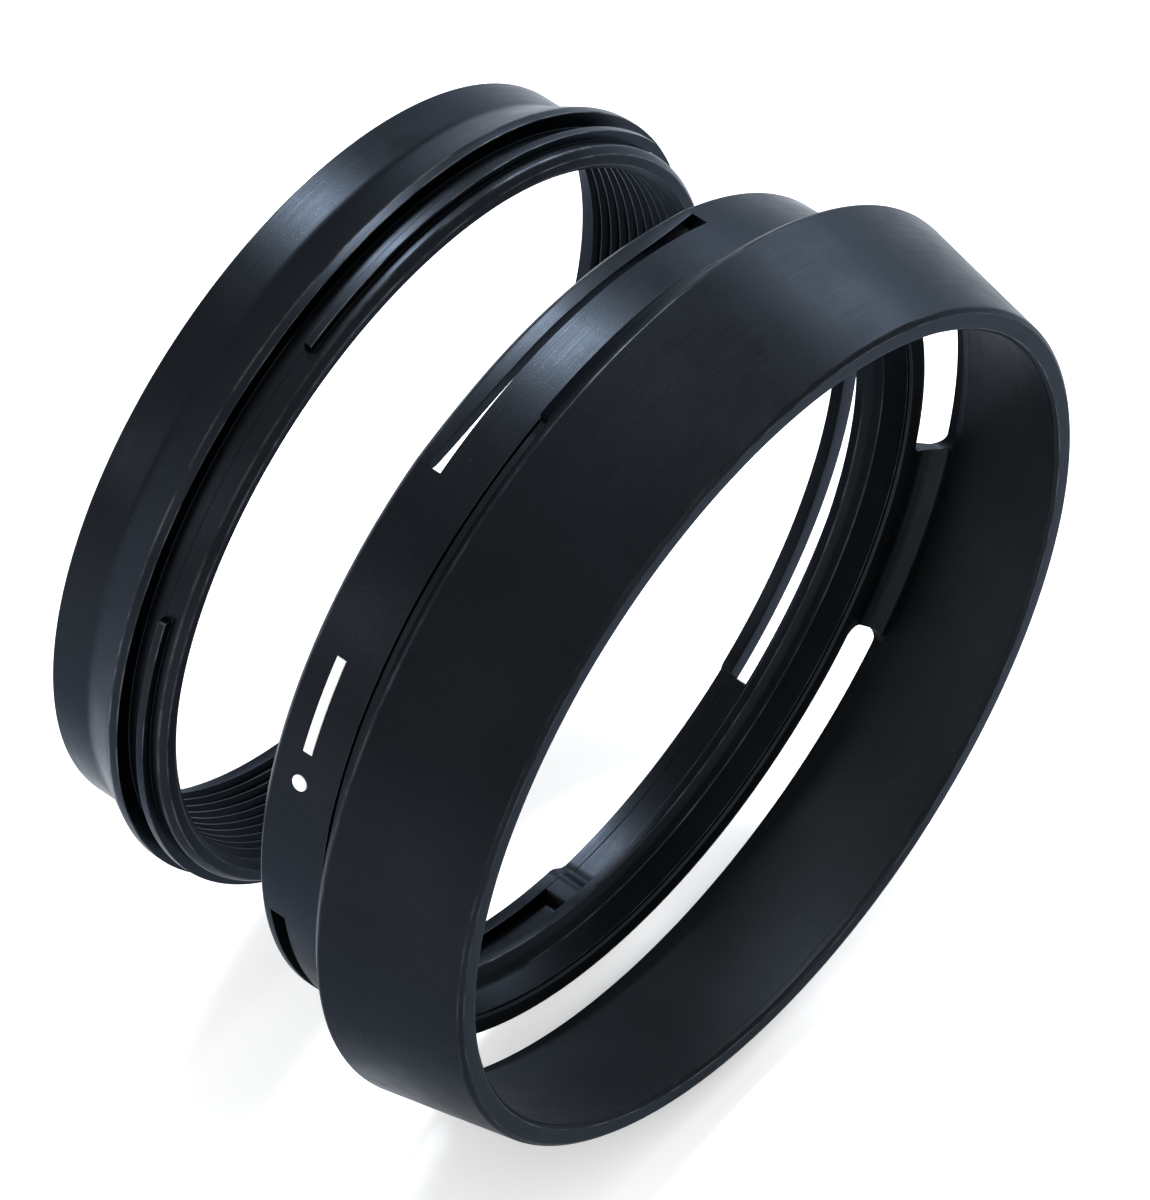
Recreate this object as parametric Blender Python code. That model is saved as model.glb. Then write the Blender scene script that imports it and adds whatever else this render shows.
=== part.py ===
"""Vented bayonet lens hood with its 49 mm adapter ring, shown slid apart on one optical axis.

Units are metres, +Z is up. The optical axis is horizontal, through the world origin, and the
front of the hood faces -Y. The origin is on the axis, in the plane of the adapter ring's rear face.
Each turned piece is modelled about its own +Z, which points forward, and is then laid down by 90
degrees about X. Angles are measured about the axis, from world +X toward world +Z.
"""

import math

import bmesh
import bpy

MM = 0.001
STEP = 5.0  # degrees between the columns of a turned piece

# Adapter ring: distances forward from its rear face, mm
RING_LENGTH = 9.4
REAR_CYLINDER_R = 25.2
RIM_R = 26.7
RIM_FRONT = 6.5
GROOVE_R = 25.6
TAB_REAR = 7.7
TAB_FRONT = 8.25
TAB_R = 26.35
NOSE_R = 25.7
NOSE_FACE_R = 25.35
TAB_GAP_HALF = 20.5  # degrees

# Filter thread M49 x 0.75, right-handed, open at both ends
THREAD_PITCH = 0.75
THREAD_CREST_R = 24.1
THREAD_ROOT_R = 24.5
THREAD_START = 0.75
THREAD_TURNS = 10

# The hood: distances forward from its rear edge, mm
HOOD_REAR_AT = 18.64  # ahead of the ring's rear face, in the pulled-off position
HOOD_LENGTH = 16.76
COLLAR_R = 27.95
COLLAR_BORE_R = 26.85
LUG_R = 25.95
LUG_DEPTH = 0.75
LUG_CENTRES = (-106.0, 14.0, 134.0)
LUG_HALF = 14.0
LUG_RAMP = 1.8  # degrees, at the lug's open end
STOP_RAMP = 3.3  # degrees, at the end with the stop
STOP_FROM = 11.2  # degrees ahead of the lug's centre, where the full-depth stop begins
SEAT_REAR = 2.9
SEAT_FRONT = 3.51
SEAT_R = 25.0
COLLAR_FRONT = 5.01
SPIGOT_R = 27.2
SPIGOT_FRONT = 5.7

# Spring tongues lie behind slots in the collar's rear edge
SLOT_CENTRES = (-148.0, -28.0, 92.0)
SLOT_HALF = 26.0
SLOT_FRONT = 2.0
TONGUE_HALF = 25.4
TONGUE_FRONT = 0.85
TONGUE_INNER_R = 26.6
# The third tongue is set: its middle is pressed in toward the axis and forward, to grip the ring
TONGUE_SET_IN = (0.0, 0.0, 0.3)
TONGUE_SET_FORWARD = (0.0, 0.0, 0.5)

# Shade band
BAND_REAR = 5.11
BAND_BORE_R = 27.3
BAND_MAX_R = 30.9
BAND_MAX_AT = 7.26
MOUTH_R = 29.0
VENT_IN_R = 27.84
VENT_OUT_R = 30.3
VENT_CENTRES = (-87.0, 33.0, 153.0)
VENT_HALF = 47.0
VENT_CORNER = 0.9

# White index filled into the collar's outside
MARK_DEPTH = 0.2
MARK_GAP = 0.05
BAR_FROM, BAR_TO = 143.5, 157.0
BAR_AT, BAR_HALF = 2.3, 0.34
DOT_ANGLE = 161.5
DOT_R = 0.55


def clear_scene():
    for obj in list(bpy.data.objects):
        bpy.data.objects.remove(obj, do_unlink=True)
    for block in (bpy.data.meshes, bpy.data.materials, bpy.data.curves):
        for item in list(block):
            block.remove(item)


def material(name, colour, roughness, metallic):
    mat = bpy.data.materials.new(name)
    mat.use_nodes = True
    shader = mat.node_tree.nodes["Principled BSDF"]
    shader.inputs["Base Color"].default_value = (*colour, 1.0)
    shader.inputs["Roughness"].default_value = roughness
    shader.inputs["Metallic"].default_value = metallic
    return mat


def columns(extra=(), start=-180.0, end=180.0, step=STEP):
    """Column angles round the piece, with the extra ones put in and near doubles taken out."""
    count = int(round((end - start) / step))
    full = abs(end - start - 360.0) < 1e-6
    base = [start + step * i for i in range(count + (0 if full else 1))]
    wanted = sorted(set(round((a - start) % 360.0 + start, 4) for a in extra))
    kept = [a for a in base if all(abs(a - b) > 0.9 for b in wanted)]
    return sorted(kept + wanted)


def ahead(angle, centre):
    return (angle - centre + 180.0) % 360.0 - 180.0


def apart(angle, centre):
    return abs((angle - centre + 180.0) % 360.0 - 180.0)


def nearest(angle, centres):
    return min(apart(angle, c) for c in centres)


def point(r, z, degrees):
    a = math.radians(degrees)
    return (r * math.cos(a) * MM, r * math.sin(a) * MM, z * MM)


def finish(bm, name, mat):
    """Outward normals, smooth faces with sharp turned edges, and an object in the scene."""
    bmesh.ops.triangulate(bm, faces=[f for f in bm.faces if len(f.verts) > 4])
    bmesh.ops.recalc_face_normals(bm, faces=bm.faces)
    mesh = bpy.data.meshes.new(name)
    bm.to_mesh(mesh)
    bm.free()
    mesh.materials.append(mat)
    mesh.shade_smooth()
    mesh.set_sharp_from_angle(angle=math.radians(25.0))
    obj = bpy.data.objects.new(name, mesh)
    bpy.context.scene.collection.objects.link(obj)
    return obj


def turned(name, mat, angles, profile, full=True):
    """A turned piece whose closed section, profile(angle) -> [(r, z)], may change with the angle."""
    bm = bmesh.new()
    rows = [[bm.verts.new(point(r, z, a)) for r, z in profile(a)] for a in angles]
    size = len(rows[0])
    last = len(rows) if full else len(rows) - 1
    for i in range(last):
        here, there = rows[i], rows[(i + 1) % len(rows)]
        for k in range(size):
            j = (k + 1) % size
            bm.faces.new((here[k], there[k], there[j], here[j]))
    if not full:
        bm.faces.new(rows[0])
        bm.faces.new(list(reversed(rows[-1])))
    return finish(bm, name, mat)


def arc_slot(bm, r_in, r_out, z_low, z_high, centre, half, corner=0.0):
    """A cutter for one arc-shaped slot, with its ends rounded by the corner radius in mm."""
    start, end = centre - half, centre + half
    outline = []
    inset = lambda r: math.degrees(corner / r)

    def quarter(r_mid, a_mid, first):
        for i in range(1, 5):
            t = math.radians(first + 90.0 * i / 5.0)
            r = r_mid + corner * math.cos(t)
            outline.append((r, a_mid + math.degrees(corner * math.sin(t) / r)))

    steps = max(2, int(round(2 * half / 4.0)))
    a0, a1 = start + inset(r_out), end - inset(r_out)
    for i in range(steps + 1):
        outline.append((r_out, a0 + (a1 - a0) * i / steps))
    if corner:
        quarter(r_out - corner, a1, 0.0)
        outline.append((r_out - corner, end))
        outline.append((r_in + corner, end))
        quarter(r_in + corner, end - inset(r_in), 90.0)
    b0, b1 = start + inset(r_in), end - inset(r_in)
    for i in range(steps + 1):
        outline.append((r_in, b1 + (b0 - b1) * i / steps))
    if corner:
        quarter(r_in + corner, b0, 180.0)
        outline.append((r_in + corner, start))
        outline.append((r_out - corner, start))
        quarter(r_out - corner, a0, 270.0)
    low = [bm.verts.new(point(r, z_low, a)) for r, a in outline]
    high = [bm.verts.new(point(r, z_high, a)) for r, a in outline]
    for i in range(len(low)):
        j = (i + 1) % len(low)
        bm.faces.new((low[i], low[j], high[j], high[i]))
    bm.faces.new(list(reversed(low)))
    bm.faces.new(high)


def radial_pin(bm, r_low, r_high, z, degrees, radius, sides=20):
    """A short round pin along a radius, for the dot and its pocket."""
    a = math.radians(degrees)
    out = (math.cos(a), math.sin(a))
    across = (-math.sin(a), math.cos(a))
    rings = []
    for r in (r_low, r_high):
        ring = []
        for i in range(sides):
            t = 2.0 * math.pi * i / sides
            u, w = radius * math.cos(t), radius * math.sin(t)
            ring.append(bm.verts.new(((out[0] * r + across[0] * u) * MM, (out[1] * r + across[1] * u) * MM, (z + w) * MM)))
        rings.append(ring)
    low, high = rings
    for i in range(sides):
        j = (i + 1) % sides
        bm.faces.new((low[i], low[j], high[j], high[i]))
    bm.faces.new(list(reversed(low)))
    bm.faces.new(high)


def cutter(name, bm, target):
    bmesh.ops.triangulate(bm, faces=[f for f in bm.faces if len(f.verts) > 4])
    bmesh.ops.recalc_face_normals(bm, faces=bm.faces)
    mesh = bpy.data.meshes.new(name)
    bm.to_mesh(mesh)
    bm.free()
    obj = bpy.data.objects.new(name, mesh)
    bpy.context.scene.collection.objects.link(obj)
    obj.location = target.location
    obj.rotation_euler = target.rotation_euler
    obj.parent = target.parent
    obj.hide_render = True
    obj.display_type = "WIRE"
    cut = target.modifiers.new(name, "BOOLEAN")
    cut.operation = "DIFFERENCE"
    cut.solver = "EXACT"
    cut.object = obj
    return obj


def lay_down(obj, forward):
    """Turn local +Z to the front, which is world -Y, and put the origin on the optical axis."""
    obj.rotation_euler = (math.radians(90.0), 0.0, 0.0)
    obj.location = (0.0, -forward * MM, 0.0)


def adapter_ring(mat):
    edges = [c + s * (TAB_GAP_HALF + d) for c in LUG_CENTRES for s in (-1, 1) for d in (0.0, 0.6)]
    angles = columns(edges)
    count = len(angles)
    rows = 2 * THREAD_TURNS

    def outside(a):
        tab = nearest(a, LUG_CENTRES) > TAB_GAP_HALF + 0.3
        r = TAB_R if tab else NOSE_R
        return [
            (24.62, 0.0), (REAR_CYLINDER_R - 0.12, 0.0), (REAR_CYLINDER_R, 0.2),
            (REAR_CYLINDER_R, 3.0), (RIM_R, 5.85), (RIM_R, RIM_FRONT - 0.1), (RIM_R - 0.1, RIM_FRONT),
            (GROOVE_R, RIM_FRONT), (GROOVE_R, TAB_REAR), (r - 0.05, TAB_REAR), (r, TAB_REAR + 0.05),
            (r, TAB_FRONT - 0.1), (r - 0.05, TAB_FRONT), (NOSE_R, TAB_FRONT + 0.01),
            (NOSE_R, 8.9), (NOSE_FACE_R, RING_LENGTH), (24.65, RING_LENGTH), (24.2, 9.1), (24.2, 8.8),
            (THREAD_ROOT_R, 8.7),
        ]

    bm = bmesh.new()
    outer = [[bm.verts.new(point(r, z, a)) for r, z in outside(a)] for a in angles]
    inner = []
    for i, a in enumerate(angles):
        turn = (a - angles[0]) / 360.0
        column = []
        for k in range(rows + 1):
            r = THREAD_CREST_R if k % 2 else THREAD_ROOT_R
            column.append(bm.verts.new(point(r, THREAD_START + THREAD_PITCH * (k / 2.0 + turn), a)))
        inner.append(column)
    relief = [bm.verts.new(point(THREAD_ROOT_R, 0.25, a)) for a in angles]
    for i in range(count):
        j = (i + 1) % count
        for k in range(len(outer[i]) - 1):
            bm.faces.new((outer[i][k], outer[j][k], outer[j][k + 1], outer[i][k + 1]))
        bm.faces.new((relief[i], relief[j], outer[j][0], outer[i][0]))
        if j:
            for k in range(rows):
                bm.faces.new((inner[i][k + 1], inner[j][k + 1], inner[j][k], inner[i][k]))
            bm.faces.new((outer[i][-1], outer[j][-1], inner[j][rows], inner[i][rows]))
            bm.faces.new((inner[i][0], inner[j][0], relief[j], relief[i]))
    # The seam joins each thread row to the one a full turn on, and closes the two blunt thread starts.
    e, s = inner[count - 1], inner[0]
    for k in range(rows - 2):
        bm.faces.new((e[k + 1], s[k + 3], s[k + 2], e[k]))
    back, front = (relief[count - 1], relief[0]), (outer[count - 1][-1], outer[0][-1])
    for three in ((back[0], back[1], s[0]), (back[0], s[0], e[0]), (e[0], s[0], s[1]), (e[0], s[1], s[2]),
                  (front[0], front[1], s[rows]), (front[0], s[rows], e[rows]),
                  (e[rows], s[rows], e[rows - 1]), (e[rows - 1], s[rows], e[rows - 2])):
        bm.faces.new(three)
    obj = finish(bm, "adapter_ring", mat)
    lay_down(obj, 0.0)
    return obj


def bayonet_collar(mat, parent):
    edges = [c + d for c in LUG_CENTRES
             for d in (-LUG_HALF - LUG_RAMP, -LUG_HALF, STOP_FROM - 0.95, STOP_FROM, LUG_HALF, LUG_HALF + STOP_RAMP)]
    angles = columns(edges)

    def section(a):
        away = min((ahead(a, c) for c in LUG_CENTRES), key=abs)
        ramp = STOP_RAMP if away > 0.0 else LUG_RAMP
        share = min(1.0, max(0.0, (abs(away) - LUG_HALF) / ramp))
        lip = LUG_R + (COLLAR_BORE_R - 0.03 - LUG_R) * share
        bore = lip + 0.03 if away > STOP_FROM - 0.5 else COLLAR_BORE_R
        return [
            (lip + 0.05, 0.0), (COLLAR_R - 0.4, 0.0), (COLLAR_R, 0.36), (COLLAR_R, COLLAR_FRONT - 0.04),
            (COLLAR_R - 0.06, COLLAR_FRONT), (SPIGOT_R, COLLAR_FRONT), (SPIGOT_R, SPIGOT_FRONT),
            (26.6, SPIGOT_FRONT), (26.2, 4.16), (25.6, 3.86), (SEAT_R, SEAT_FRONT),
            (SEAT_R, SEAT_REAR), (bore, SEAT_REAR), (bore, LUG_DEPTH + 0.03),
            (lip, LUG_DEPTH), (lip, 0.06),
        ]

    obj = turned("bayonet_collar", mat, angles, section)
    obj.parent = parent
    slots = bmesh.new()
    for c in SLOT_CENTRES:
        arc_slot(slots, 25.5, 29.0, -1.0, SLOT_FRONT, c, SLOT_HALF)
    cutter("slot_cutter", slots, obj)
    pockets = bmesh.new()
    floor = COLLAR_R - MARK_DEPTH - MARK_GAP
    middle, half = (BAR_FROM + BAR_TO) / 2.0, (BAR_TO - BAR_FROM) / 2.0
    arc_slot(pockets, floor, 29.0, BAR_AT - BAR_HALF - MARK_GAP, BAR_AT + BAR_HALF + MARK_GAP, middle,
             half + math.degrees(MARK_GAP / COLLAR_R))
    radial_pin(pockets, floor, 29.0, BAR_AT, DOT_ANGLE, DOT_R + MARK_GAP)
    cutter("index_pocket_cutter", pockets, obj)
    return obj


def shade_band(mat, parent):
    def section(a):
        return [
            (BAND_BORE_R, BAND_REAR), (COLLAR_R - 0.06, BAND_REAR), (COLLAR_R, BAND_REAR + 0.04),
            (COLLAR_R + 0.01, 5.24), (29.0, 5.3), (29.55, 5.91), (BAND_MAX_R, BAND_MAX_AT),
            (MOUTH_R, HOOD_LENGTH - 0.26), (28.7, HOOD_LENGTH), (27.67, HOOD_LENGTH),
            (27.45, HOOD_LENGTH - 0.25), (30.05, 7.1), (29.3, 6.41), (28.7, 6.06), (27.6, 6.06),
            (26.75, 5.98), (26.65, 5.8), (BAND_BORE_R, 5.8),
        ]

    obj = turned("shade_band", mat, columns(), section)
    obj.parent = parent
    vents = bmesh.new()
    for c in VENT_CENTRES:
        arc_slot(vents, VENT_IN_R, VENT_OUT_R, 4.5, 7.4, c, VENT_HALF, VENT_CORNER)
    cutter("vent_cutter", vents, obj)
    return obj


def spring_tongue(name, mat, parent, centre, set_in, set_forward):
    angles = [centre + TONGUE_HALF * (i / 8.0 - 1.0) for i in range(17)]

    def section(a):
        bow = 1.0 - min(1.0, apart(a, centre) / TONGUE_HALF) ** 4
        outer = COLLAR_R - set_in * bow
        front = TONGUE_FRONT + set_forward * bow
        return [(TONGUE_INNER_R, 0.0), (outer - 0.4, 0.0), (outer, 0.36), (outer, front), (TONGUE_INNER_R, front)]

    obj = turned(name, mat, angles, section, full=False)
    obj.parent = parent
    return obj


def index_mark(mat, parent):
    middle, half = (BAR_FROM + BAR_TO) / 2.0, (BAR_TO - BAR_FROM) / 2.0
    low, high = COLLAR_R - MARK_DEPTH, COLLAR_R - 0.01
    angles = [BAR_FROM + 2.0 * half * i / 4.0 for i in range(5)]
    bar = turned("index_bar", mat, angles,
                 lambda a: [(low, BAR_AT - BAR_HALF), (high, BAR_AT - BAR_HALF), (high, BAR_AT + BAR_HALF), (low, BAR_AT + BAR_HALF)],
                 full=False)
    dot = bmesh.new()
    radial_pin(dot, low, high, BAR_AT, DOT_ANGLE, DOT_R)
    dot = finish(dot, "index_dot", mat)
    for obj in (bar, dot):
        obj.parent = parent
    return bar, dot


def main():
    clear_scene()
    bpy.context.scene.unit_settings.system = "METRIC"
    ring_black = material("ring_black_anodised", (0.022, 0.024, 0.027), 0.36, 0.9)
    collar_black = material("collar_black_anodised", (0.024, 0.026, 0.029), 0.38, 0.9)
    band_black = material("band_black_anodised", (0.024, 0.026, 0.029), 0.4, 0.9)
    tongue_black = material("tongue_black_anodised", (0.03, 0.032, 0.035), 0.36, 0.9)
    white = material("index_white_paint", (0.86, 0.86, 0.85), 0.5, 0.0)

    adapter_ring(ring_black)

    hood = bpy.data.objects.new("hood_frame", None)
    bpy.context.scene.collection.objects.link(hood)
    lay_down(hood, HOOD_REAR_AT)
    bayonet_collar(collar_black, hood)
    shade_band(band_black, hood)
    for i, centre in enumerate(SLOT_CENTRES):
        spring_tongue("spring_tongue_%d" % (i + 1), tongue_black, hood, centre, TONGUE_SET_IN[i], TONGUE_SET_FORWARD[i])
    index_mark(white, hood)


main()
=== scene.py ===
"""Looks for the vented bayonet lens hood and its threaded adapter ring.

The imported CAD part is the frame. Every CAD node is stood for by a finer mesh of the same piece, cut
from the same dimensions, with rounded edges, a true helical thread, anti-reflection grooves inside
the shade and black anodised finishes. World units are metres; the optical axis is the Y axis.
"""

import math

import bmesh
import bpy
import numpy as np
from mathutils import Matrix, Vector


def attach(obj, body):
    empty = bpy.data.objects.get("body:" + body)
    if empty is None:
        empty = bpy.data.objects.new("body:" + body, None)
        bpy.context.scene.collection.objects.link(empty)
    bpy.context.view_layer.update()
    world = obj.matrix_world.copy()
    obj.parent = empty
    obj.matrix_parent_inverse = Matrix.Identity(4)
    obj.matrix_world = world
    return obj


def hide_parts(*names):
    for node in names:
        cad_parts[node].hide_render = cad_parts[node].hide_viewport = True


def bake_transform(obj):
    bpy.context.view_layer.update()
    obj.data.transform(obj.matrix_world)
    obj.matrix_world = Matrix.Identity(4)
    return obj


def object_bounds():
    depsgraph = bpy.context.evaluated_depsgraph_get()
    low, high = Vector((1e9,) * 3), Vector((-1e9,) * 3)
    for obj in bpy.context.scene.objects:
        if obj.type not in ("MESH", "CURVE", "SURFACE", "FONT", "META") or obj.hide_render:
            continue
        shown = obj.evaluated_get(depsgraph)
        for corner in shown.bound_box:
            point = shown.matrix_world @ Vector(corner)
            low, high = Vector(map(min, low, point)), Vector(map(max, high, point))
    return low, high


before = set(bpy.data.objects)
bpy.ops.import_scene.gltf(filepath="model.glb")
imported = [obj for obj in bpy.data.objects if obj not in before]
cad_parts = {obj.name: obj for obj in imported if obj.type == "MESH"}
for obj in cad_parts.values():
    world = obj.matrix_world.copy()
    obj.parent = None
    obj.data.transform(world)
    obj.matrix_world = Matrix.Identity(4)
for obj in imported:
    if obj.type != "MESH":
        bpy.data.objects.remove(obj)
cad_low, cad_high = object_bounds()

MM = 0.001

# ---------------------------------------------------------------- dimensions, mm (as in the CAD)
RING_LENGTH = 9.4
NOSE_R = 25.7
TAB_R = 26.35
TAB_GAP_HALF = 20.5
THREAD_PITCH = 0.75
THREAD_CREST_R = 24.1
THREAD_ROOT_R = 24.5
THREAD_START = 0.45
THREAD_TURNS = 10

HOOD_REAR_AT = 18.64
HOOD_LENGTH = 16.76
COLLAR_R = 27.95
COLLAR_BORE_R = 26.85
LUG_R = 25.95
LUG_CENTRES = (-106.0, 14.0, 134.0)
LUG_HALF = 14.0
LUG_RAMP, STOP_RAMP, STOP_FROM = 1.8, 3.3, 11.2
SLOT_CENTRES = (-148.0, -28.0, 92.0)
SLOT_HALF = 26.0
SLOT_FRONT = 2.0
TONGUE_FRONT = 0.85
TONGUE_INNER_R = 26.6
TONGUE_SET_IN = (0.0, 0.0, 0.3)
TONGUE_SET_FORWARD = (0.0, 0.0, 0.5)
VENT_CENTRES = (-87.0, 33.0, 153.0)
VENT_HALF = 47.0
BAR_FROM, BAR_TO = 143.5, 157.0
BAR_AT, BAR_HALF = 2.3, 0.34
DOT_ANGLE, DOT_R = 161.5, 0.55


# ---------------------------------------------------------------- mesh helpers
def at(r, s, degrees):
    """Point at radius r, s mm forward of the ring's rear face, at an angle about the optical axis."""
    a = math.radians(degrees)
    return (r * math.cos(a) * MM, -s * MM, r * math.sin(a) * MM)


def rounded(corners, offset=0.0, seg=3):
    """A profile polyline [(r, s, wear)] from corners (r, s, reach, wear): each corner is cut back by
    its reach along both sides and rounded, always with the same number of points."""
    out = []
    n = len(corners)
    for i, (r, s, reach, wear) in enumerate(corners):
        p = np.array([r, s])
        if reach <= 0:
            out.append((r, s + offset, 0.0))
            continue
        before, after = np.array(corners[i - 1][:2]), np.array(corners[(i + 1) % n][:2])
        u, v = before - p, after - p
        lu, lv = np.linalg.norm(u), np.linalg.norm(v)
        a = p + u / lu * min(reach, 0.45 * lu)
        b = p + v / lv * min(reach, 0.45 * lv)
        for k in range(seg + 1):
            t = k / seg
            q = (1 - t) ** 2 * a + 2 * t * (1 - t) * p + t * t * b
            out.append((q[0], q[1] + offset, wear * (1.0 if 0 < k < seg else 0.0)))
    return out


def ahead(angle, centre):
    return (angle - centre + 180.0) % 360.0 - 180.0


def apart(angle, centre):
    return abs((angle - centre + 180.0) % 360.0 - 180.0)


def nearest(angle, centres):
    return min(apart(angle, c) for c in centres)


def smooth(t):
    t = min(1.0, max(0.0, t))
    return t * t * (3 - 2 * t)


def columns(extra=(), step=1.0):
    base = [-179.63 + step * i for i in range(int(round(360 / step)))]  # clear of the cuts' ends
    wanted = sorted(set(round((a + 180.0) % 360.0 - 180.0, 4) for a in extra))
    kept = [a for a in base if all(abs(a - b) > 0.12 for b in wanted)]
    return sorted(kept + wanted)


def to_object(bm, name, wear=None):
    bmesh.ops.recalc_face_normals(bm, faces=bm.faces)
    mesh = bpy.data.meshes.new(name)
    bm.to_mesh(mesh)
    bm.free()
    if wear is not None:
        attribute = mesh.attributes.new("edge_wear", "FLOAT", "POINT")
        attribute.data.foreach_set("value", np.array(wear, np.float32))
    obj = bpy.data.objects.new(name, mesh)
    bpy.context.scene.collection.objects.link(obj)
    return obj


def turned(name, angles, profile, full=True):
    """A turned piece from profile(angle) -> closed [(r, s, wear)], the same length at every angle."""
    bm = bmesh.new()
    wear, rows = [], []
    for a in angles:
        row = []
        for r, s, w in profile(a):
            row.append(bm.verts.new(at(r, s, a)))
            wear.append(w)
        rows.append(row)
    size = len(rows[0])
    for i in range(len(rows) if full else len(rows) - 1):
        here, there = rows[i], rows[(i + 1) % len(rows)]
        for k in range(size):
            j = (k + 1) % size
            bm.faces.new((here[k], there[k], there[j], here[j]))
    if not full:
        bm.faces.new(rows[0])
        bm.faces.new(list(reversed(rows[-1])))
    return to_object(bm, name, wear)


def arc_cutter(r_in, r_out, low, high, centre, half, corner=0.0, step=1.0, seg=8):
    """Closed arc-shaped block between two distances along the axis, ends rounded by corner mm."""
    outline = []
    start, end = centre - half, centre + half

    def turn(r):
        return math.degrees(corner / r)

    def quarter(r_mid, a_mid, first):
        for i in range(1, seg):
            t = math.radians(first + 90.0 * i / seg)
            r = r_mid + corner * math.cos(t)
            outline.append((r, a_mid + math.degrees(corner * math.sin(t) / r)))

    steps = max(4, int(round(2 * half / step)))
    a0, a1 = start + turn(r_out), end - turn(r_out)
    outline += [(r_out, a0 + (a1 - a0) * i / steps) for i in range(steps + 1)]
    if corner:
        quarter(r_out - corner, a1, 0.0)
        if r_out - r_in > 2.01 * corner:
            outline += [(r_out - corner, end), (r_in + corner, end)]
        quarter(r_in + corner, end - turn(r_in), 90.0)
    b0, b1 = start + turn(r_in), end - turn(r_in)
    outline += [(r_in, b1 + (b0 - b1) * i / steps) for i in range(steps + 1)]
    if corner:
        quarter(r_in + corner, b0, 180.0)
        if r_out - r_in > 2.01 * corner:
            outline += [(r_in + corner, start), (r_out - corner, start)]
        quarter(r_out - corner, a0, 270.0)
    bm = bmesh.new()
    a = [bm.verts.new(at(r, low, d)) for r, d in outline]
    b = [bm.verts.new(at(r, high, d)) for r, d in outline]
    for i in range(len(a)):
        j = (i + 1) % len(a)
        bm.faces.new((a[i], a[j], b[j], b[i]))
    bm.faces.new(list(reversed(a)))
    bm.faces.new(b)
    bmesh.ops.triangulate(bm, faces=[f for f in bm.faces if len(f.verts) > 4])
    return to_object(bm, "cutter")


def radial_pin(name, r_low, r_high, s, degrees, radius, sides=48, crown=0.0, wear=None):
    """A short round pin standing along a radius, with an optional softened outer edge."""
    a = math.radians(degrees)
    out, across = Vector((math.cos(a), 0, math.sin(a))), Vector((-math.sin(a), 0, math.cos(a)))
    along = Vector((0, -1, 0))
    levels = [(r_low, radius), (r_high - crown, radius)]
    if crown:
        levels += [(r_high - crown * 0.3, radius - crown * 0.3), (r_high, radius - crown)]
    bm = bmesh.new()
    rings = []
    for r, rad in levels:
        ring = []
        for i in range(sides):
            t = 2.0 * math.pi * i / sides
            p = out * r + across * (rad * math.cos(t)) + along * (rad * math.sin(t) + s)
            ring.append(bm.verts.new(p * MM))
        rings.append(ring)
    for low, high in zip(rings, rings[1:]):
        for i in range(sides):
            j = (i + 1) % sides
            bm.faces.new((low[i], low[j], high[j], high[i]))
    bm.faces.new(list(reversed(rings[0])))
    bm.faces.new(rings[-1])
    return to_object(bm, name, wear)


def boolean(obj, operation, others):
    """Cuts obj by the other meshes, or keeps what it shares with one, and leaves plain mesh."""
    for other in others:
        m = obj.modifiers.new("cut", "BOOLEAN")
        m.operation, m.solver, m.object = operation, "EXACT", other
    bake(obj)


def bake(obj):
    graph = bpy.context.evaluated_depsgraph_get()
    mesh = bpy.data.meshes.new_from_object(obj.evaluated_get(graph))
    mesh.name = obj.name
    obj.modifiers.clear()
    obj.data = mesh


def tidy(obj):
    """Closes the hair-thin slivers that a cut can leave."""
    bm = bmesh.new()
    bm.from_mesh(obj.data)
    bmesh.ops.remove_doubles(bm, verts=bm.verts, dist=0.0015 * MM)
    bmesh.ops.dissolve_degenerate(bm, edges=bm.edges, dist=0.0005 * MM)
    bm.to_mesh(obj.data)
    bm.free()


def soften(obj, width):
    b = obj.modifiers.new("soften", "BEVEL")
    b.width, b.segments, b.limit_method, b.angle_limit = width * MM, 2, "ANGLE", math.radians(48)
    b.use_clamp_overlap, b.miter_outer = True, "MITER_ARC"
    bake(obj)


def discard(objects):
    for o in objects:
        bpy.data.objects.remove(o, do_unlink=True)


def carve(obj, cutters, bevel=0.0):
    """Cuts the cutters out of obj, closes slivers, and, given a bevel width, softens the sharp edges."""
    boolean(obj, "DIFFERENCE", cutters)
    discard(cutters)
    tidy(obj)
    if bevel:
        soften(obj, bevel)
        tidy(obj)


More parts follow.
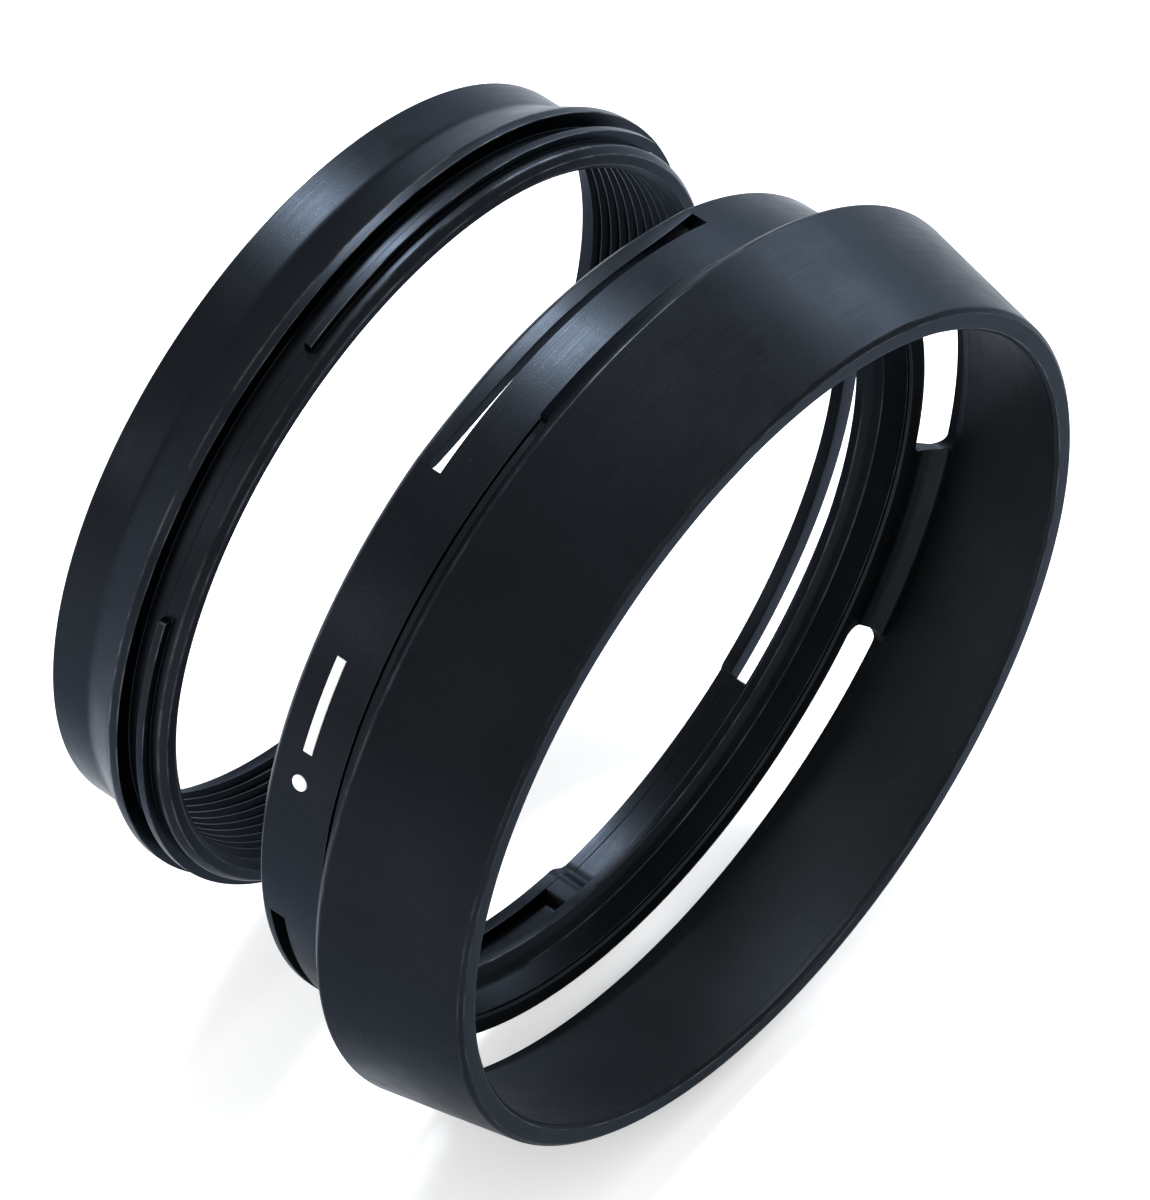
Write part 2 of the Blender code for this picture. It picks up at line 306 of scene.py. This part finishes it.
def even_normals(obj, degrees=32.0):
    """Normals as a lathe leaves them: each face's normal is turned about the optical axis to the
    corner's own angle, and large faces decide, so neither the columns nor a cut show in the gloss."""
    mesh = obj.data
    count, corners = len(mesh.polygons), len(mesh.loops)

    def read(source, key, width, size, kind=np.float32):
        values = np.empty(size * width, kind)
        source.foreach_get(key, values)
        return values.reshape(size, width) if width > 1 else values

    normal = read(mesh.polygons, "normal", 3, count).astype(float)
    centre = read(mesh.polygons, "center", 3, count)
    area = read(mesh.polygons, "area", 1, count).astype(float)
    total = read(mesh.polygons, "loop_total", 1, count, np.int32)
    point = read(mesh.vertices, "co", 3, len(mesh.vertices))
    vertex = read(mesh.loops, "vertex_index", 1, corners, np.int32)
    face = np.repeat(np.arange(count), total)
    place = point[vertex]
    turn = np.arctan2(place[:, 2], place[:, 0]) - np.arctan2(centre[face, 2], centre[face, 0])
    c, s = np.cos(turn), np.sin(turn)
    n = normal[face]
    n = np.stack([n[:, 0] * c - n[:, 2] * s, n[:, 1], n[:, 0] * s + n[:, 2] * c], axis=1)
    weight = np.sqrt(area[face])
    order = np.argsort(vertex, kind="stable")
    ends = np.flatnonzero(np.diff(vertex[order])) + 1
    limit = math.cos(math.radians(degrees))
    result = np.array(n)
    for group in np.split(order, ends):
        m = n[group]
        near = (m @ m.T) > limit
        result[group] = (near * weight[group]) @ m
    length = np.linalg.norm(result, axis=1, keepdims=True)
    result = np.where(length > 1e-12, result / np.maximum(length, 1e-12), n)
    mesh.shade_smooth()
    mesh.normals_split_custom_set([tuple(v) for v in result])


def shade(obj, degrees=32.0):
    obj.data.shade_smooth()
    obj.data.set_sharp_from_angle(angle=math.radians(degrees))


# ---------------------------------------------------------------- materials
class Nodes:
    """Small wrapper that keeps the node code readable."""

    def __init__(self, name):
        self.mat = bpy.data.materials.new(name)
        self.mat.use_nodes = True
        self.tree = self.mat.node_tree
        self.shader = self.tree.nodes["Principled BSDF"]

    def add(self, kind, **settings):
        node = self.tree.nodes.new(kind)
        for key, value in settings.items():
            setattr(node, key, value)
        return node

    def link(self, a, b):
        self.tree.links.new(a, b)

    def put(self, socket, value):
        if isinstance(value, bpy.types.NodeSocket):
            self.link(value, socket)
        else:
            socket.default_value = value

    def math(self, op, a, b=0.0, c=0.0):
        node = self.add("ShaderNodeMath", operation=op)
        for socket, value in zip(node.inputs, (a, b, c)):
            self.put(socket, value)
        return node.outputs[0]

    def noise(self, vector, scale, detail=2.0, rough=0.5):
        node = self.add("ShaderNodeTexNoise")
        self.put(node.inputs["Vector"], vector)
        node.inputs["Scale"].default_value = scale
        node.inputs["Detail"].default_value = detail
        node.inputs["Roughness"].default_value = rough
        return node.outputs["Fac"]

    def remap(self, value, a, b, c, d, smoothstep=False):
        node = self.add("ShaderNodeMapRange")
        if smoothstep:
            node.interpolation_type = "SMOOTHSTEP"
        self.put(node.inputs["Value"], value)
        for key, x in zip(("From Min", "From Max", "To Min", "To Max"), (a, b, c, d)):
            node.inputs[key].default_value = x
        return node.outputs["Result"]

    def mix(self, factor, a, b):
        node = self.add("ShaderNodeMix", data_type="RGBA")
        self.put(node.inputs[0], factor)
        self.put(node.inputs[6], a)
        self.put(node.inputs[7], b)
        return node.outputs[2]


def anodised(name, colour, roughness, lines=1.0, grain=1.0, wear=1.0, matt=False, specular=0.5, metallic=1.0):
    """Black anodised aluminium: dyed oxide, fine turning lines round the axis, a soft grain, faint
    clouding, and bare grey showing through along the handled edges."""
    n = Nodes(name)
    coord = n.add("ShaderNodeTexCoord").outputs["Object"]
    split = n.add("ShaderNodeSeparateXYZ")
    n.link(coord, split.inputs[0])
    x, y, z = split.outputs
    r = n.math("SQRT", n.math("ADD", n.math("MULTIPLY", x, x), n.math("MULTIPLY", z, z)))
    profile = n.math("ADD", n.math("MULTIPLY", y, 9000.0), n.math("MULTIPLY", r, 7300.0))
    turn = n.add("ShaderNodeCombineXYZ")
    n.put(turn.inputs[0], profile)
    n.put(turn.inputs[1], n.math("MULTIPLY", n.math("DIVIDE", x, r), 2.2))
    n.put(turn.inputs[2], n.math("MULTIPLY", n.math("DIVIDE", z, r), 2.2))
    turning = n.noise(turn.outputs[0], 1.0, 3.0, 0.6)
    speckle = n.noise(coord, 9000.0, 2.0, 0.6)
    cloud = n.noise(coord, 110.0, 3.0, 0.55)
    smear = n.noise(coord, 420.0, 4.0, 0.6)

    dark = tuple(c * 0.9 for c in colour) + (1.0,)
    light = tuple(c * 1.12 for c in colour) + (1.0,)
    base = n.mix(n.remap(cloud, 0.3, 0.7, 0.0, 1.0), dark, light)
    # fine pale flecks in the oxide
    flecks = n.remap(speckle, 0.6, 0.78, 0.0, 0.3 * grain, True)
    base = n.mix(flecks, base, tuple(c * 3.2 for c in colour) + (1.0,))
    edge = n.add("ShaderNodeAttribute", attribute_name="edge_wear").outputs["Fac"]
    rubbed = n.math("MULTIPLY", edge, n.remap(smear, 0.38, 0.68, 0.12, 1.0, True))
    rubbed = n.math("MULTIPLY", rubbed, wear)
    base = n.mix(rubbed, base, (0.06, 0.064, 0.069, 1.0))
    n.link(base, n.shader.inputs["Base Color"])

    rough = n.math("ADD", n.remap(turning, 0.3, 0.7, -0.035, 0.035), n.remap(smear, 0.3, 0.7, -0.03, 0.03))
    rough = n.math("ADD", rough, roughness)
    rough = n.math("SUBTRACT", rough, n.math("MULTIPLY", rubbed, 0.08))
    n.link(rough, n.shader.inputs["Roughness"])

    height = n.math("ADD", n.math("MULTIPLY", turning, lines), n.math("MULTIPLY", speckle, 0.7 * grain))
    bump = n.add("ShaderNodeBump")
    bump.inputs["Strength"].default_value = 0.55
    bump.inputs["Distance"].default_value = 0.000006
    n.link(height, bump.inputs["Height"])
    n.link(bump.outputs["Normal"], n.shader.inputs["Normal"])

    n.shader.inputs["Metallic"].default_value = metallic
    n.shader.inputs["Specular IOR Level"].default_value = specular
    n.shader.inputs["Specular Tint"].default_value = (0.55, 0.57, 0.6, 1.0)
    if not matt:
        n.shader.inputs["Anisotropic"].default_value = 0.25
        tangent = n.add("ShaderNodeTangent", direction_type="RADIAL", axis="Y")
        n.link(tangent.outputs[0], n.shader.inputs["Tangent"])
    return n.mat


def paint(name):
    """White paint filled into the engraving: matt, slightly uneven, a little dulled."""
    n = Nodes(name)
    coord = n.add("ShaderNodeTexCoord").outputs["Object"]
    mottled = n.noise(coord, 2600.0, 3.0, 0.6)
    pits = n.noise(coord, 7000.0, 2.0, 0.5)
    base = n.mix(n.remap(mottled, 0.3, 0.75, 0.0, 1.0), (0.86, 0.86, 0.85, 1), (0.72, 0.72, 0.71, 1))
    n.link(base, n.shader.inputs["Base Color"])
    n.link(n.remap(pits, 0.3, 0.7, 0.45, 0.62), n.shader.inputs["Roughness"])
    bump = n.add("ShaderNodeBump")
    bump.inputs["Strength"].default_value = 0.4
    bump.inputs["Distance"].default_value = 0.00001
    n.link(n.math("ADD", mottled, pits), bump.inputs["Height"])
    n.link(bump.outputs["Normal"], n.shader.inputs["Normal"])
    return n.mat


RING_BLACK = anodised("ring_black_anodised", (0.0095, 0.0113, 0.0140), 0.33, lines=0.4, grain=1.7)
COLLAR_BLACK = anodised("collar_black_anodised", (0.0095, 0.0113, 0.0140), 0.33, lines=0.35, grain=1.8)
BAND_BLACK = anodised("band_black_anodised", (0.0090, 0.0106, 0.0130), 0.36, lines=0.35, grain=1.5)
INNER_BLACK = anodised("band_inner_matt", (0.0175, 0.0205, 0.0235), 0.5, lines=1.6, wear=0.4, matt=True)
TONGUE_BLACK = anodised("tongue_black_anodised", (0.0100, 0.0118, 0.0145), 0.33, lines=0.35, grain=1.8)
WHITE = paint("index_white_paint")


def dress(obj, body, nodes, slot, *materials):
    for m in materials:
        obj.data.materials.append(m)
    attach(obj, body)
    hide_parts(*nodes)
    return obj


# ---------------------------------------------------------------- adapter ring
def adapter_ring():
    edges = [c + k * (TAB_GAP_HALF + d) for c in LUG_CENTRES for k in (-1, 1) for d in (0.0, 0.12, 0.24, 0.36, 0.48, 0.6)]
    angles = columns(edges)
    count = len(angles)

    def outside(a):
        share = smooth((nearest(a, LUG_CENTRES) - TAB_GAP_HALF) / 0.6)
        r = NOSE_R + (TAB_R - NOSE_R) * share
        return rounded([
            (24.55, 0.0, 0.0, 0), (25.2, 0.0, 0.14, 1), (25.2, 3.0, 0.35, 0), (26.7, 5.85, 0.12, 1),
            (26.7, 6.5, 0.1, 1), (25.6, 6.5, 0.08, 0), (25.6, 7.7, 0.04, 0), (r, 7.7, 0.07, share),
            (r, 8.25, 0.07, share), (25.7, 8.26, 0.05, 0), (25.7, 8.9, 0.12, 0.6), (25.35, 9.4, 0.1, 1),
            (24.66, 9.4, 0.06, 0.8), (24.22, 9.08, 0.06, 0.3), (24.2, 8.75, 0.05, 0), (THREAD_ROOT_R, 8.62, 0.0, 0),
        ])

    offsets = ((THREAD_ROOT_R, 0.0), (THREAD_ROOT_R, 0.09), (THREAD_CREST_R, 0.33), (THREAD_CREST_R, 0.42))
    rows = 4 * THREAD_TURNS
    bm = bmesh.new()
    wear, outer, inner = [], [], []
    for a in angles:
        column = []
        for r, s, w in outside(a):
            column.append(bm.verts.new(at(r, s, a)))
            wear.append(w)
        outer.append(column)
    for a in angles:
        part = (a - angles[0]) / 360.0
        column = []
        for k in range(rows + 1):
            r, step = offsets[k % 4]
            column.append(bm.verts.new(at(r, THREAD_START + THREAD_PITCH * (k // 4 + part) + step, a)))
            wear.append(0.0)
        inner.append(column)
    relief = [bm.verts.new(at(THREAD_ROOT_R, 0.12, a)) for a in angles]
    wear += [0.0] * count
    for i in range(count):
        j = (i + 1) % count
        for k in range(len(outer[i]) - 1):
            bm.faces.new((outer[i][k], outer[j][k], outer[j][k + 1], outer[i][k + 1]))
        bm.faces.new((relief[i], relief[j], outer[j][0], outer[i][0]))
        if j:
            for k in range(rows):
                bm.faces.new((inner[i][k + 1], inner[j][k + 1], inner[j][k], inner[i][k]))
            bm.faces.new((outer[i][-1], outer[j][-1], inner[j][rows], inner[i][rows]))
            bm.faces.new((inner[i][0], inner[j][0], relief[j], relief[i]))
    e, s = inner[count - 1], inner[0]
    for k in range(rows - 4):
        bm.faces.new((e[k + 1], s[k + 5], s[k + 4], e[k]))
    b0, b1, f0, f1 = relief[count - 1], relief[0], outer[count - 1][-1], outer[0][-1]
    bm.faces.new((b0, b1, s[0]))
    bm.faces.new((b0, s[0], e[0]))
    for k in range(4):
        bm.faces.new((e[0], s[k], s[k + 1]))
        bm.faces.new((e[rows - k], s[rows], e[rows - k - 1]))
    bm.faces.new((f0, f1, s[rows]))
    bm.faces.new((f0, s[rows], e[rows]))
    obj = to_object(bm, "adapter_ring_fine", wear)
    even_normals(obj)
    return dress(obj, "adapter", ["adapter_ring"], "ring_black", RING_BLACK)


# ---------------------------------------------------------------- bayonet collar and its spring tongues
def bow(a, centre):
    return 1.0 - min(1.0, apart(a, centre) / SLOT_HALF) ** 4


def tongue_front(a, number):
    return TONGUE_FRONT + TONGUE_SET_FORWARD[number] * bow(a, SLOT_CENTRES[number])


def within(a, number):
    """0 at the ends of a tongue, 1 along it."""
    return smooth((SLOT_HALF - apart(a, SLOT_CENTRES[number])) / 0.7)


def bayonet_collar():
    edges = [c + d for c in LUG_CENTRES for d in (-15.8, -15.2, -14.6, -14.0, 10.25, 10.6, 10.9, 11.2, 14.0, 14.8, 15.6, 16.4, 17.3)]

    def section(a):
        away = min((ahead(a, c) for c in LUG_CENTRES), key=abs)
        share = 1.0 - smooth((abs(away) - LUG_HALF) / (STOP_RAMP if away > 0.0 else LUG_RAMP))
        lip = COLLAR_BORE_R - 0.03 + (LUG_R - COLLAR_BORE_R + 0.03) * share
        stop = min(share, smooth((away - STOP_FROM + 0.95) / 0.95)) if away > 0.0 else 0.0
        bore = COLLAR_BORE_R + (LUG_R + 0.03 - COLLAR_BORE_R) * stop
        return rounded([
            (lip, 0.0, 0.06, 0.7), (COLLAR_R - 0.4, 0.0, 0.08, 1), (COLLAR_R, 0.36, 0.1, 0.6), (COLLAR_R, 5.01, 0.07, 0.6),
            (27.2, 5.01, 0.0, 0), (27.2, 5.7, 0.05, 0), (26.6, 5.7, 0.06, 0.5), (26.2, 4.16, 0.08, 0.5),
            (25.6, 3.86, 0.1, 0), (25.0, 3.51, 0.08, 0.8), (25.0, 2.9, 0.06, 0.8), (bore, 2.9, 0.06, 0),
            (bore, 0.78, 0.0, 0), (lip, 0.75, 0.05, 0.5),
        ], HOOD_REAR_AT)

    collar = turned("bayonet_collar_fine", columns(edges), section)
    cutters = [arc_cutter(25.5, 29.0, HOOD_REAR_AT - 1.0, HOOD_REAR_AT + SLOT_FRONT, c, SLOT_HALF) for c in SLOT_CENTRES]
    floor = COLLAR_R - 0.25
    cutters.append(arc_cutter(floor, 29.0, HOOD_REAR_AT + BAR_AT - BAR_HALF - 0.04, HOOD_REAR_AT + BAR_AT + BAR_HALF + 0.04,
                              (BAR_FROM + BAR_TO) / 2, (BAR_TO - BAR_FROM) / 2 + 0.1))
    cutters.append(radial_pin("cutter", floor, 29.0, HOOD_REAR_AT + BAR_AT, DOT_ANGLE, DOT_R + 0.04))
    carve(collar, cutters)
    even_normals(collar)
    return dress(collar, "hood", ["bayonet_collar"], "collar_black", COLLAR_BLACK)


def spring_tongues():
    """Each tongue is two strips that meet in its middle, one from each end of its slot."""

    def section(number):
        def at_angle(a):
            inside = within(a, number)
            inner = COLLAR_BORE_R - 0.03 + (TONGUE_INNER_R - COLLAR_BORE_R + 0.03) * inside
            outer = COLLAR_R - TONGUE_SET_IN[number] * bow(a, SLOT_CENTRES[number])
            front = tongue_front(a, number)
            return rounded([
                (inner, 0.0, 0.06, 0.7), (outer - 0.4, 0.0, 0.08, 1), (outer, 0.36, 0.1, 0.6),
                (outer, front, 0.05, 0.7), (inner, front, 0.05, 0.6),
            ], HOOD_REAR_AT)
        return at_angle

    for n, c in enumerate(SLOT_CENTRES):
        for side, end in (("a", c - SLOT_HALF + 0.02), ("b", c + SLOT_HALF - 0.02)):
            count = 60
            angles = [end + (c - end) * i / count for i in range(count + 1)]
            if side == "b":
                angles.reverse()
            strip = turned("spring_tongue_%d%s_fine" % (n + 1, side), angles, section(n), full=False)
            even_normals(strip)
            strip.data.materials.append(TONGUE_BLACK)
            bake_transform(strip)
            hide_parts("spring_tongue_%d" % (n + 1))


# ---------------------------------------------------------------- shade band
def shade_band():
    top, low = (27.45, HOOD_LENGTH - 0.25), (30.05, 7.1)

    def wall(s):
        return top[0] + (low[0] - top[0]) * (top[1] - s) / (top[1] - low[1])

    pitch, depth = 0.2, 0.022
    grooves = []
    s = 16.1
    while s > 7.75:
        grooves += [(wall(s), s, 0.0, 0), (wall(s - pitch / 2) + depth, s - pitch / 2, 0.0, 0)]
        s -= pitch
    corners = [
        (27.3, 5.11, 0.0, 0), (27.93, 5.11, 0.05, 0.5), (27.96, 5.24, 0.04, 0), (29.0, 5.3, 0.12, 0),
        (29.6, 5.96, 0.12, 0.4), (30.9, 7.26, 0.16, 0.4), (29.0, 16.5, 0.1, 0.25), (28.7, 16.76, 0.08, 0.45),
        (27.67, 16.76, 0.06, 0.8), (27.45, 16.51, 0.06, 0.3), (wall(16.15), 16.15, 0.0, 0),
    ] + grooves + [
        (30.05, 7.1, 0.12, 0), (29.3, 6.41, 0.2, 0), (28.7, 6.06, 0.15, 0), (27.6, 6.06, 0.1, 0),
        (26.75, 5.98, 0.05, 0.5), (26.65, 5.8, 0.0, 0), (27.3, 5.8, 0.0, 0),
    ]
    fixed = rounded(corners, HOOD_REAR_AT)
    obj = turned("shade_band_fine", columns(), lambda a: fixed)
    cutters = [arc_cutter(27.84, 30.3, HOOD_REAR_AT + 4.5, HOOD_REAR_AT + 7.4, c, VENT_HALF, 0.9) for c in VENT_CENTRES]
    carve(obj, cutters, 0.06)
    obj.data.materials.append(BAND_BLACK)
    obj.data.materials.append(INNER_BLACK)
    # the wall and floor inside the shade are matt
    for f in obj.data.polygons:
        c, normal = f.center, f.normal
        out = Vector((c.x, 0, c.z)).normalized()
        s = -c.y / MM - HOOD_REAR_AT
        if 5.85 < s < 16.45 and normal.dot(out) < 0.2 and (c.x ** 2 + c.z ** 2) ** 0.5 / MM < wall(s) + 0.3:
            f.material_index = 1
    even_normals(obj, 36.0)
    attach(obj, "hood")
    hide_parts("shade_band")
    return obj


# ---------------------------------------------------------------- index
def index_mark():
    low, high = COLLAR_R - 0.2, COLLAR_R - 0.01
    s = HOOD_REAR_AT + BAR_AT
    count = 40
    angles = [BAR_FROM + (BAR_TO - BAR_FROM) * i / count for i in range(count + 1)]
    bar = turned("index_bar_fine", angles, lambda a: rounded([
        (low, s - BAR_HALF, 0, 0), (high, s - BAR_HALF, 0.04, 0), (high, s + BAR_HALF, 0.04, 0), (low, s + BAR_HALF, 0, 0)]),
        full=False)
    dot = radial_pin("index_dot_fine", low, high, s, DOT_ANGLE, DOT_R, crown=0.04)
    for obj, node in ((bar, "index_bar"), (dot, "index_dot")):
        shade(obj)
        dress(obj, "hood", [node], "index_white", WHITE)


adapter_ring()
bayonet_collar()
spring_tongues()
shade_band()
index_mark()


# ---------------------------------------------------------------- floor, light and camera
def floor():
    size, z = 4.0, cad_low.z - 0.00005
    bm = bmesh.new()
    vs = [bm.verts.new((x * size, y * size, z)) for x, y in ((-1, -1), (1, -1), (1, 1), (-1, 1))]
    bm.faces.new(vs)
    mesh = bpy.data.meshes.new("studio_floor")
    bm.to_mesh(mesh)
    bm.free()
    obj = bpy.data.objects.new("studio_floor", mesh)
    bpy.context.scene.collection.objects.link(obj)
    n = Nodes("pale_floor")
    coord = n.add("ShaderNodeTexCoord").outputs["Object"]
    tone = n.noise(coord, 3.0, 2.0, 0.5)
    base = n.mix(tone, (0.93, 0.93, 0.93, 1), (0.95, 0.95, 0.95, 1))
    n.link(base, n.shader.inputs["Base Color"])
    n.shader.inputs["Roughness"].default_value = 0.9
    n.shader.inputs["Specular IOR Level"].default_value = 0.1
    # a little light from the floor itself, as from a lit table, keeps the shadows faint
    n.shader.inputs["Emission Color"].default_value = (1.0, 1.0, 1.0, 1.0)
    n.shader.inputs["Emission Strength"].default_value = 0.27
    obj.data.materials.append(n.mat)


def softbox(name, direction, distance, width, height, power, colour=(1, 1, 1)):
    """An area light in a given direction from the middle of the object, facing it."""
    light = bpy.data.lights.new(name, "AREA")
    light.shape, light.size, light.size_y = "RECTANGLE", width, height
    light.energy, light.color = power, colour
    obj = bpy.data.objects.new(name, light)
    bpy.context.scene.collection.objects.link(obj)
    d = Vector(direction).normalized()
    middle = Vector((0, -0.018, 0))
    obj.location = middle + d * distance
    obj.rotation_mode = "QUATERNION"
    obj.rotation_quaternion = (middle - obj.location).to_track_quat("-Z", "Y")
    return obj


floor()
softbox("softbox_key", (0.34, 0.43, 0.83), 1.25, 0.24, 0.24, 17.0, (0.86, 0.93, 1.0))
softbox("softbox_right", (0.93, 0.17, 0.33), 1.5, 0.7, 0.55, 16.0, (0.88, 0.94, 1.0))
softbox("softbox_left", (-0.81, 0.45, 0.38), 1.5, 0.4, 0.5, 1.5, (0.92, 0.96, 1.0))
softbox("softbox_front", (0.1, -0.9, 0.45), 1.6, 0.6, 0.5, 2.5)

world = bpy.data.worlds.new("studio") if not bpy.context.scene.world else bpy.context.scene.world
bpy.context.scene.world = world
world.use_nodes = True
background = world.node_tree.nodes.get("Background")
background.inputs["Color"].default_value = (1.0, 1.0, 1.0, 1.0)
background.inputs["Strength"].default_value = 1.0

bpy.context.scene.view_settings.view_transform = "Standard"
bpy.context.scene.view_settings.look = "None"
bpy.context.scene.view_settings.exposure = 0.0
bpy.context.scene.view_settings.gamma = 1.0


def camera():
    """Looks down on the pair from the front left. turn and pitch give the optical axis in the view:
    its slope on the picture and its lean toward the viewer; the point 20 mm along it is put in place."""
    frame_w, frame_h, focal = 1150.0, 1200.0, 11500.0
    turn, pitch = math.radians(32.69), math.radians(24.25)
    axis = Vector((math.cos(turn) * math.cos(pitch), math.sin(turn) * math.cos(pitch), -math.sin(pitch)))
    up = Vector((0.0, axis.z, -axis.y)).normalized()
    if up.y > 0:
        up = -up
    y = -axis
    x = y.cross(up)
    to_view = Matrix((x, y, up)).transposed()  # world to view: right, down, forward
    to_world = to_view.transposed()
    distance = 0.69594
    point = Vector(((576.0 - frame_w / 2) / focal * distance, (606.1 - frame_h / 2) / focal * distance, distance))
    data = bpy.data.cameras.new("camera")
    data.sensor_width, data.sensor_fit = 36.0, "AUTO"
    data.lens = focal * 36.0 / frame_h
    data.clip_start, data.clip_end = 0.05, 20.0
    obj = bpy.data.objects.new("camera", data)
    bpy.context.scene.collection.objects.link(obj)
    rotation = to_world @ Matrix(((1, 0, 0), (0, -1, 0), (0, 0, -1)))
    location = Vector((0, -0.020, 0)) - to_world @ point
    obj.matrix_world = Matrix.Translation(location) @ rotation.to_4x4()
    bpy.context.scene.camera = obj


camera()
